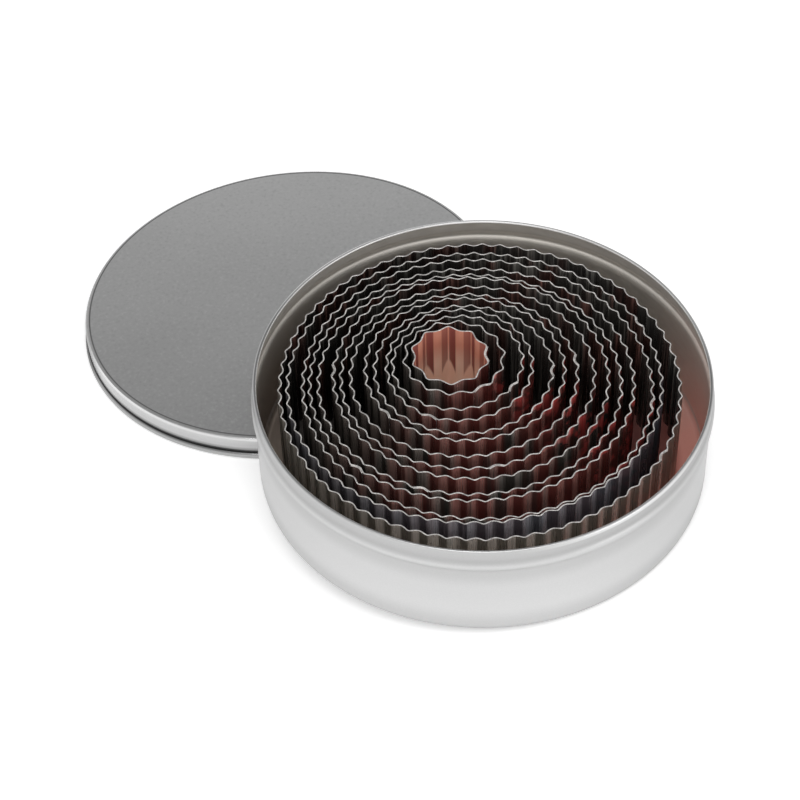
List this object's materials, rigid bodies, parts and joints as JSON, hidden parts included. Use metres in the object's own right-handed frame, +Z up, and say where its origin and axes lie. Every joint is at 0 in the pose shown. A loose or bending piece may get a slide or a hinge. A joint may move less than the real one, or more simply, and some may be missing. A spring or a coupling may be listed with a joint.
{
  "type": "biscuit cutter set",
  "caption": "Round fluted biscuit cutters nested in an open round tin, which leans on the edge of its own slip lid.",
  "frame": {"origin": "on the table, under the middle of the whole set", "axes": "+X runs from the lid to the tin, along the set's longest extent; +Z points up from the table"},
  "size_m": [0.2166, 0.1256, 0.0422],
  "materials": {
    "tin_steel": "satin tinplate, bright outside and warm grey inside",
    "lid_steel": "matt tinplate top with a brighter skirt",
    "cutter_steel": "bright tinplate strip with plain cut edges"
  },
  "bodies": {
    "tin": {"tin": "tin_steel"},
    "lid": {"lid": "lid_steel"},
    "cutter_01": {"cutter_01": "cutter_steel"},
    "cutter_02": {"cutter_02": "cutter_steel"},
    "cutter_03": {"cutter_03": "cutter_steel"},
    "cutter_04": {"cutter_04": "cutter_steel"},
    "cutter_05": {"cutter_05": "cutter_steel"},
    "cutter_06": {"cutter_06": "cutter_steel"},
    "cutter_07": {"cutter_07": "cutter_steel"},
    "cutter_08": {"cutter_08": "cutter_steel"},
    "cutter_09": {"cutter_09": "cutter_steel"},
    "cutter_10": {"cutter_10": "cutter_steel"},
    "cutter_11": {"cutter_11": "cutter_steel"},
    "cutter_12": {"cutter_12": "cutter_steel"},
    "cutter_13": {"cutter_13": "cutter_steel"},
    "cutter_14": {"cutter_14": "cutter_steel"}
  },
  "joints": [
    {"name": "lid_draw", "type": "slide", "parent": "tin", "child": "lid", "axis": [-1, 0, 0], "range_m": [0, 0.16]},
    {"name": "cutter_01_lift", "type": "slide", "parent": "tin", "child": "cutter_01", "axis": [0.0855, 0, 0.9963], "range_m": [0, 0.06]},
    {"name": "cutter_02_lift", "type": "slide", "parent": "tin", "child": "cutter_02", "axis": [0.0855, 0, 0.9963], "range_m": [0, 0.06]},
    {"name": "cutter_03_lift", "type": "slide", "parent": "tin", "child": "cutter_03", "axis": [0.0855, 0, 0.9963], "range_m": [0, 0.06]},
    {"name": "cutter_04_lift", "type": "slide", "parent": "tin", "child": "cutter_04", "axis": [0.0855, 0, 0.9963], "range_m": [0, 0.06]},
    {"name": "cutter_05_lift", "type": "slide", "parent": "tin", "child": "cutter_05", "axis": [0.0855, 0, 0.9963], "range_m": [0, 0.06]},
    {"name": "cutter_06_lift", "type": "slide", "parent": "tin", "child": "cutter_06", "axis": [0.0855, 0, 0.9963], "range_m": [0, 0.06]},
    {"name": "cutter_07_lift", "type": "slide", "parent": "tin", "child": "cutter_07", "axis": [0.0855, 0, 0.9963], "range_m": [0, 0.06]},
    {"name": "cutter_08_lift", "type": "slide", "parent": "tin", "child": "cutter_08", "axis": [0.0855, 0, 0.9963], "range_m": [0, 0.06]},
    {"name": "cutter_09_lift", "type": "slide", "parent": "tin", "child": "cutter_09", "axis": [0.0855, 0, 0.9963], "range_m": [0, 0.06]},
    {"name": "cutter_10_lift", "type": "slide", "parent": "tin", "child": "cutter_10", "axis": [0.0855, 0, 0.9963], "range_m": [0, 0.06]},
    {"name": "cutter_11_lift", "type": "slide", "parent": "tin", "child": "cutter_11", "axis": [0.0855, 0, 0.9963], "range_m": [0, 0.06]},
    {"name": "cutter_12_lift", "type": "slide", "parent": "tin", "child": "cutter_12", "axis": [0.0855, 0, 0.9963], "range_m": [0, 0.06]},
    {"name": "cutter_13_lift", "type": "slide", "parent": "tin", "child": "cutter_13", "axis": [0.0855, 0, 0.9963], "range_m": [0, 0.06]},
    {"name": "cutter_14_lift", "type": "slide", "parent": "tin", "child": "cutter_14", "axis": [0.0855, 0, 0.9963], "range_m": [0, 0.06]}
  ]
}
